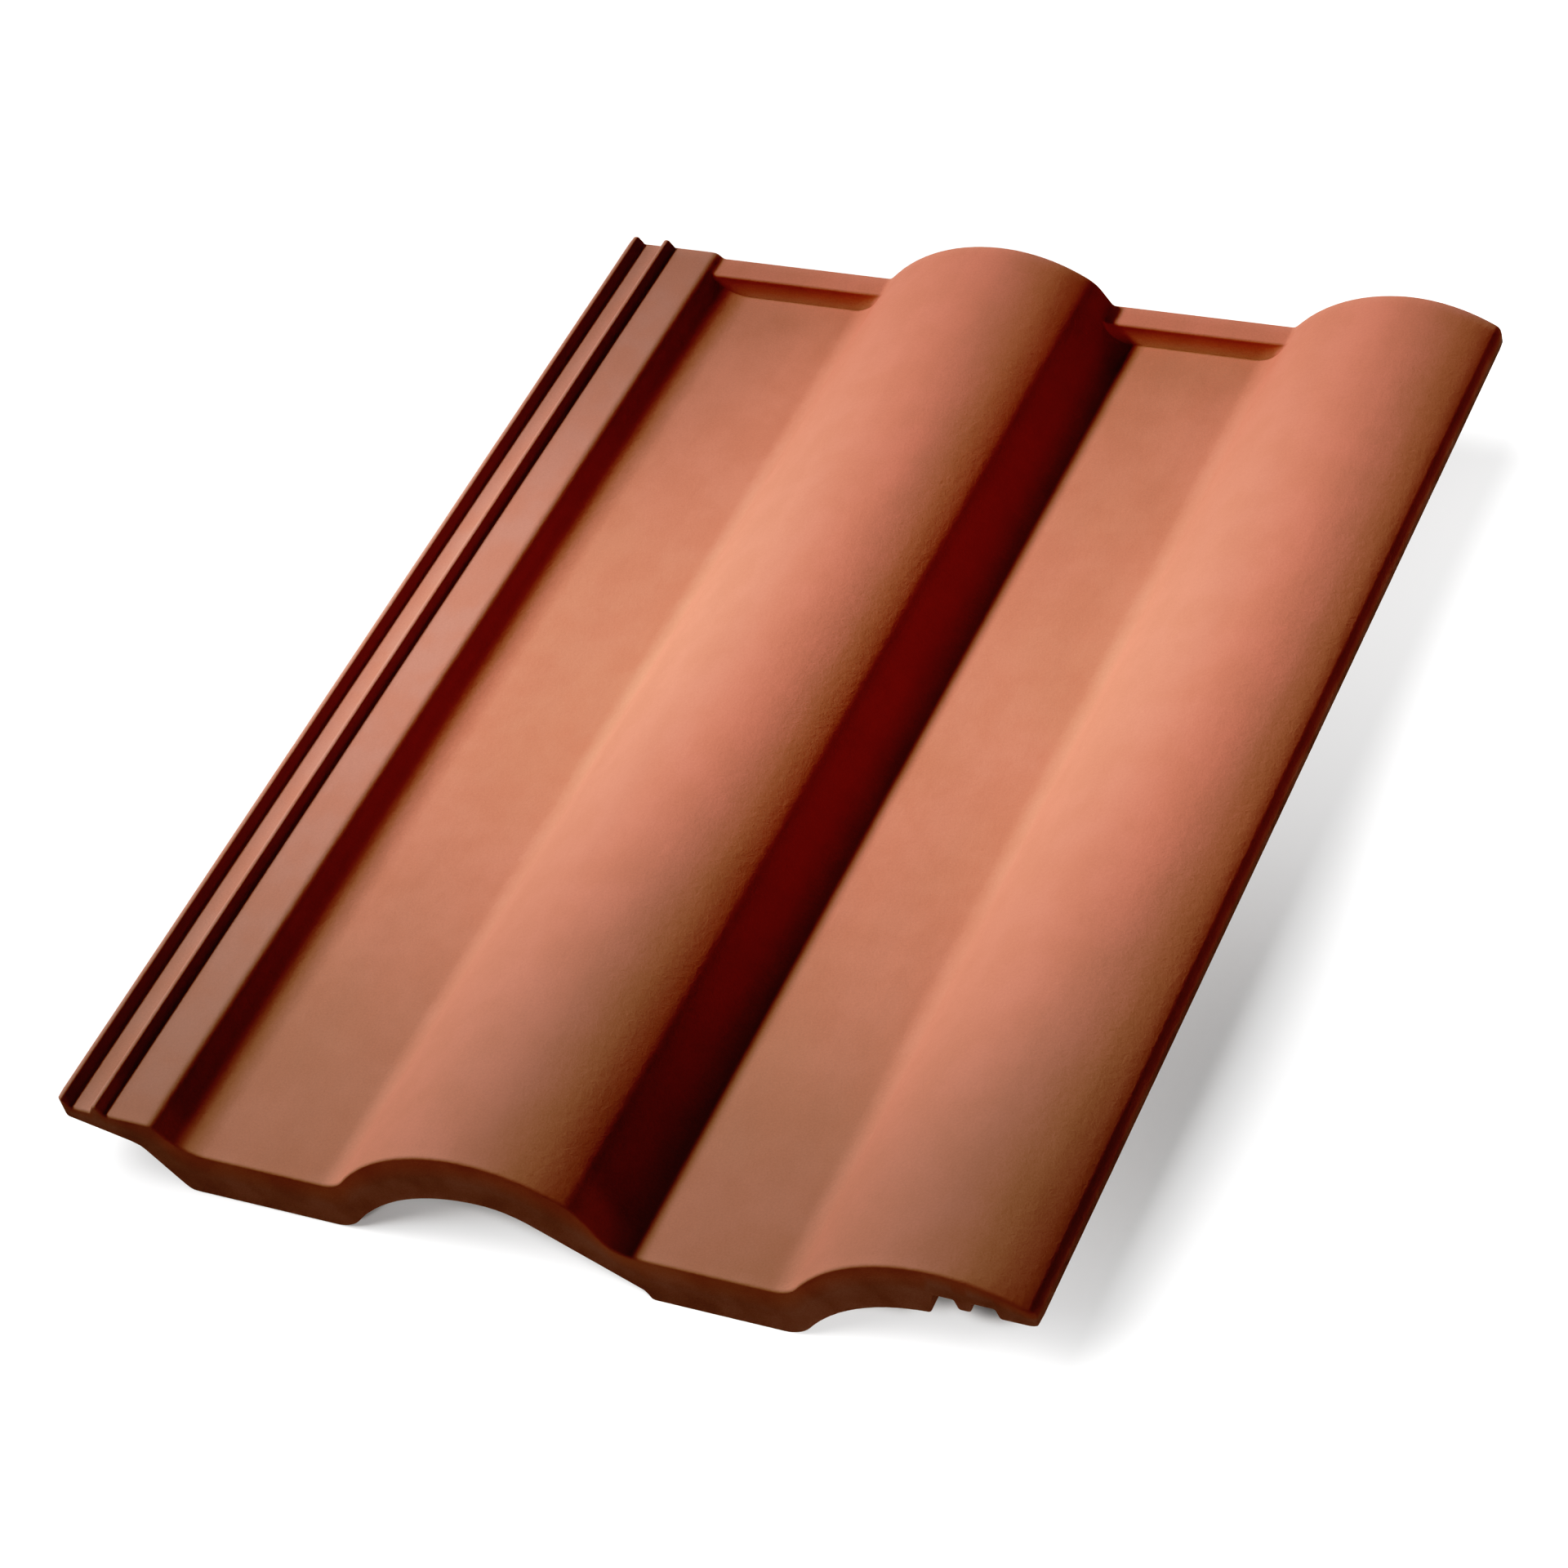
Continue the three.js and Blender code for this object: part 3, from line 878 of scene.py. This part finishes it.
def with_mark(geometry, name, value):
    """The geometry with a number stored at each point, for the material."""
    return press.node(
        "GeometryNodeStoreNamedAttribute",
        {"data_type": "FLOAT", "domain": "POINT"},
        {"Geometry": geometry, "Name": name, "Value": value},
    )


near_rim = 1.0 - press.clamped(rim / size["Thin slip width"])
pressed = with_mark(pressed, "slip", press.clamped(upper * SLIP_STEEPNESS - SLIP_START))
pressed = with_mark(pressed, "arris", near_rim * upper)
smooth = press.node("GeometryNodeSetShadeSmooth", None, {"Geometry": pressed})
whole = press.node("GeometryNodeRealizeInstances", None, {"Geometry": smooth})
coated = press.node(
    "GeometryNodeSetMaterial", None, {"Geometry": whole, "Material": fired_clay}
)
press.node("NodeGroupOutput", None, {"Tile": coated})
print("nodes of the press:", len(press_tree.nodes))

# %% Press the tile
modifier = blank.modifiers.new("press", "NODES")
modifier.node_group = press_tree
for item in faceplate.items_tree:
    if item.name in SIZES:
        modifier[item.identifier] = SIZES[item.name] * MM

bpy.context.view_layer.update()
evaluated = blank.evaluated_get(bpy.context.evaluated_depsgraph_get())
tile_mesh = bpy.data.meshes.new_from_object(evaluated)
blank.modifiers.remove(modifier)
bpy.data.objects.remove(blank)
tile = bpy.data.objects.new("pressed_roof_tile", tile_mesh)
bpy.context.scene.collection.objects.link(tile)
print("faces of the tile:", len(tile_mesh.polygons))

# %% [markdown]
# ## Setting the tile down
#
# The tile was pressed level, from its own corner. On the ground it rests on the lower arris of its
# tail and on its two nibs, so it is pitched by a little over a degree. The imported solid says
# exactly where: turned level again, its lowest corner is the tile's corner at the nibs' tips.

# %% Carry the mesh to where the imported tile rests
level = Matrix.Rotation(-PITCH, 4, "X")
packed = np.array([level @ v.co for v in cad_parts["roof_tile"].data.vertices])
left, tail, tips = packed.min(axis=0)
own_corner = Vector((left, tail, tips - SIZES["Nib tip"] * MM))
tile_mesh.transform(Matrix.Rotation(PITCH, 4, "X") @ Matrix.Translation(own_corner))
tile_mesh.update()
print("the tile's own corner, level:", [round(v, 5) for v in own_corner])

# %% Say what the piece stands for
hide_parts("roof_tile")
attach(tile, "root")
print("faces that stand for roof_tile:", len(tile_mesh.polygons))

# %% [markdown]
# ## The floor
#
# The tile lies on a matt white table, so wide that no edge of it shows. A curved sweep behind the
# tile would do as well, but seen from above a level sheet is enough. The table glows slightly,
# which keeps its deepest shadow grey, and it is hidden from the light that bounces: otherwise it
# would brighten the flanks of the rolls, which have to stay dark.

# %% Make the floor
FLOOR_SIDE = 30.0

floor_mesh = bpy.data.meshes.new("floor")
half = FLOOR_SIDE / 2
floor_mesh.from_pydata(
    [(-half, -half, 0), (half, -half, 0), (half, half, 0), (-half, half, 0)],
    [],
    [(0, 1, 2, 3)],
)
floor = bpy.data.objects.new("floor", floor_mesh)
bpy.context.scene.collection.objects.link(floor)
floor.visible_diffuse = False
print("side of the floor, in metres:", FLOOR_SIDE)

# %% Finish the floor
TABLE_WHITE = (0.8, 0.8, 0.8, 1.0)
WHITE = (1.0, 1.0, 1.0, 1.0)
TABLE_GLOW = 0.05

table_finish = bpy.data.materials.new("studio_table")
table_finish.use_nodes = True
table_finish.node_tree.nodes.clear()
table = Bench(table_finish.node_tree)
table_surface = table.node(
    "ShaderNodeBsdfPrincipled",
    None,
    {
        "Base Color": TABLE_WHITE,
        "Roughness": 0.9,
        "Emission Color": WHITE,
        "Emission Strength": TABLE_GLOW,
    },
)
table.node("ShaderNodeOutputMaterial", None, {"Surface": table_surface})
floor_mesh.materials.append(table_finish)
print("nodes of the table's finish:", len(table_finish.node_tree.nodes))

# %% [markdown]
# ## The lamps
#
# The tile wants hard shading and the table a soft, pale shadow, which one lamp can't give both. In
# a studio, cards would keep two lamps apart. Light linking does that here: each lamp lights only
# the objects that it names, while everything still casts its shadow. Two kinds are enough. A sun
# only has a direction and a width, and a soft box far away looks the same. A spot has a round beam
# that fades from its middle to its edge, for light that should stay in one place.

# %% Two kinds of lamp
def lamp(name, kind, place, looking_at, energy, lit):
    """A lamp that lights only the named objects; everything still casts its shadow."""
    data = bpy.data.lights.new(name, kind)
    data.energy = energy
    made = bpy.data.objects.new(name, data)
    bpy.context.scene.collection.objects.link(made)
    made.location = place
    made.rotation_mode = "QUATERNION"
    made.rotation_quaternion = (looking_at - place).to_track_quat("-Z", "Y")
    receivers = bpy.data.collections.new(name + "_lights")
    for thing in lit:
        receivers.objects.link(thing)
    made.light_linking.receiver_collection = receivers
    return made


def sun(name, place, looking_at, energy, width, lit):
    """A lamp too far away to have a place, as wide in the sky as its width in degrees."""
    made = lamp(name, "SUN", place, looking_at, energy, lit)
    made.data.angle = math.radians(width)
    return made


def spot(name, place, looking_at, energy, width, softness, lit):
    """A lamp with a round beam, as wide as its width in radians, that fades to its edge."""
    made = lamp(name, "SPOT", place, looking_at, energy, lit)
    made.data.spot_size = width
    made.data.spot_blend = 1.0
    made.data.shadow_soft_size = softness
    return made


ORIGIN = Vector((0, 0, 0))
print("objects to light:", [tile.name, floor.name])

# %% [markdown]
# The key comes from the left and a little behind, so the rising sides of the rolls are brightest
# and the falling sides are dark. A beam from the same place is drawn out along the tile, and
# leaves the light to fade towards the tail and the head. Three cards are weak suns, low down: one
# shows the tail's face, one the head's bars, and a narrow one only grazes the overlock's edge.

# %% The key and its beam
KEY_ELEVATION = math.radians(43)
KEY_BEHIND = math.radians(8)
KEY_DISTANCE = 2.0
BEAM_MIDDLE = Vector((0.0, 0.024, 0.03))
BEAM_REACH = 0.176
BEAM_LENGTH = 4.0
BEAM_TURN = math.radians(18)

towards_key = Vector((
    -math.cos(KEY_ELEVATION) * math.cos(KEY_BEHIND),
    math.cos(KEY_ELEVATION) * math.sin(KEY_BEHIND),
    math.sin(KEY_ELEVATION),
))
key = sun("key", BEAM_MIDDLE + towards_key, BEAM_MIDDLE, energy=2.5, width=8, lit=[tile])
beam = spot(
    "beam",
    BEAM_MIDDLE + towards_key * KEY_DISTANCE,
    BEAM_MIDDLE,
    energy=104,
    width=2 * math.atan(BEAM_REACH / KEY_DISTANCE),
    softness=0.13,
    lit=[tile],
)
beam.scale = (1.0, BEAM_LENGTH, 1.0)
beam.rotation_quaternion @= Quaternion((0, 0, 1), BEAM_TURN)
print("beam's width, in degrees:", round(math.degrees(beam.data.spot_size), 2))

# %% The cards
# Name, side that it comes from, strength, and width in degrees.
CARDS = (
    ("tail_card", (0.18, -1.0, 0.24), 0.38, 40),
    ("head_card", (-0.15, 1.0, 0.12), 1.2, 40),
    ("edge_card", (1.0, -0.15, 0.01), 0.22, 5),
)
for name, side, strength, width in CARDS:
    sun(name, Vector(side), ORIGIN, strength, width, [tile])
print("cards on the tile:", [name for name, *_ in CARDS])

# %% [markdown]
# The table has light of its own. A very wide sun from high on the left makes the soft shadow that
# lies beside the right edge. Real light would come back from the walls of the room: three small
# spots do that where the shadow should be paler, beside the head, at the tail's right corner and
# in the mouth of the arch.

# %% The lamps of the table
# Name, place, spot of the table that it looks at, strength, and width in degrees.
TABLE_SPOTS = (
    ("backfill", (0.95, 0.95, 1.0), (0.17, 0.14, 0.0), 130, 16),
    ("corner_fill", (0.7, -0.75, 0.8), (0.15, -0.265, 0.0), 66, 16),
    ("arch_fill", (-0.1, -1.2, 0.55), (-0.03, -0.18, 0.0), 40, 10),
)
TABLE_SPOT_SOFTNESS = 0.1

sun("wash", Vector((-1.1, -0.6, 2.4)), ORIGIN, energy=4.55, width=56, lit=[floor])
for name, stand, target, strength, width in TABLE_SPOTS:
    beam_width = math.radians(width)
    spot(
        name, Vector(stand), Vector(target), strength, beam_width, TABLE_SPOT_SOFTNESS, [floor]
    )
print("lamps in all:", len(bpy.data.lights))

# %% [markdown]
# ## Sky and contrast
#
# A camera sees a white backdrop, but such a bright dome would flatten the clay. A Light Path node
# tells the two apart: the sky is white where it is seen and dim where it lights. The result is
# then printed hard: a curve in the view settings lowers the shadows and lifts the light tones.
# Darker paint would do the same from one side, but it would leave the tile wrong under any other
# light.

# %% A dim sky that looks white
SKY_LIGHT = 0.07

sky = bpy.data.worlds.new("sky")
sky.use_nodes = True
sky.node_tree.nodes.clear()
dome = Bench(sky.node_tree)
seen = dome.node("ShaderNodeLightPath", output="Is Camera Ray")
brightness = SKY_LIGHT + seen * (1.0 - SKY_LIGHT)
glow = dome.node("ShaderNodeBackground", None, {"Color": WHITE, "Strength": brightness})
dome.node("ShaderNodeOutputWorld", None, {"Surface": glow})
bpy.context.scene.world = sky
print("share of the sky's white that lights the tile:", SKY_LIGHT)

# %% A hard print
CONTRAST = ((0.05, 0.003), (0.12, 0.08), (0.3, 0.3), (0.55, 0.645), (0.75, 0.8))
ALL_COLOURS = 3

picture = bpy.context.scene.view_settings
picture.view_transform = "Standard"
picture.look = "None"
picture.use_curve_mapping = True
print_curve = picture.curve_mapping.curves[ALL_COLOURS]
for light_in, light_out in CONTRAST:
    print_curve.points.new(light_in, light_out)
for point in print_curve.points:
    point.handle_type = "AUTO_CLAMPED"
picture.curve_mapping.update()
print("points on the contrast curve:", len(print_curve.points))
